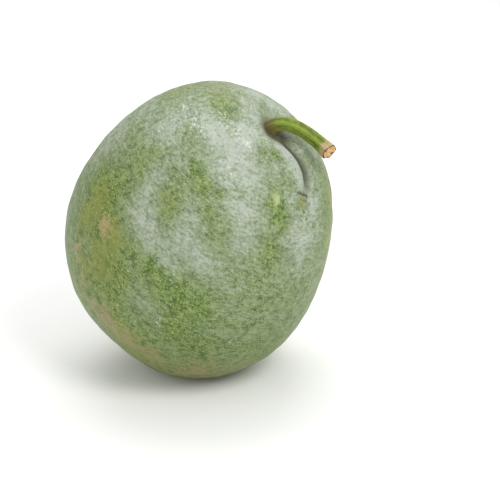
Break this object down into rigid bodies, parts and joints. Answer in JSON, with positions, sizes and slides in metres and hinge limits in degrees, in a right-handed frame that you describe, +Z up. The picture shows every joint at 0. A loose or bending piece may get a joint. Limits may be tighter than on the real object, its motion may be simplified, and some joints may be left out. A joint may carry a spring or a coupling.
{
  "type": "winter melon",
  "caption": "Whole round winter melon with a waxy mottled green rind, a stem hollow with a growth crease, and a short ridged cut stem, resting on its flattened underside.",
  "frame": {"origin": "centre of the flat spot on the underside that the melon rests on", "axes": "+Z up, +X to the side that the stem bends over, -Y to the front, where the growth crease runs down"},
  "size_m": [0.2649, 0.2627, 0.2952],
  "materials": {
    "waxy_rind": "satin",
    "green_stem": "matte"
  },
  "bodies": {
    "root": {"melon_fruit": "waxy_rind", "melon_stem": "green_stem"}
  },
  "joints": []
}
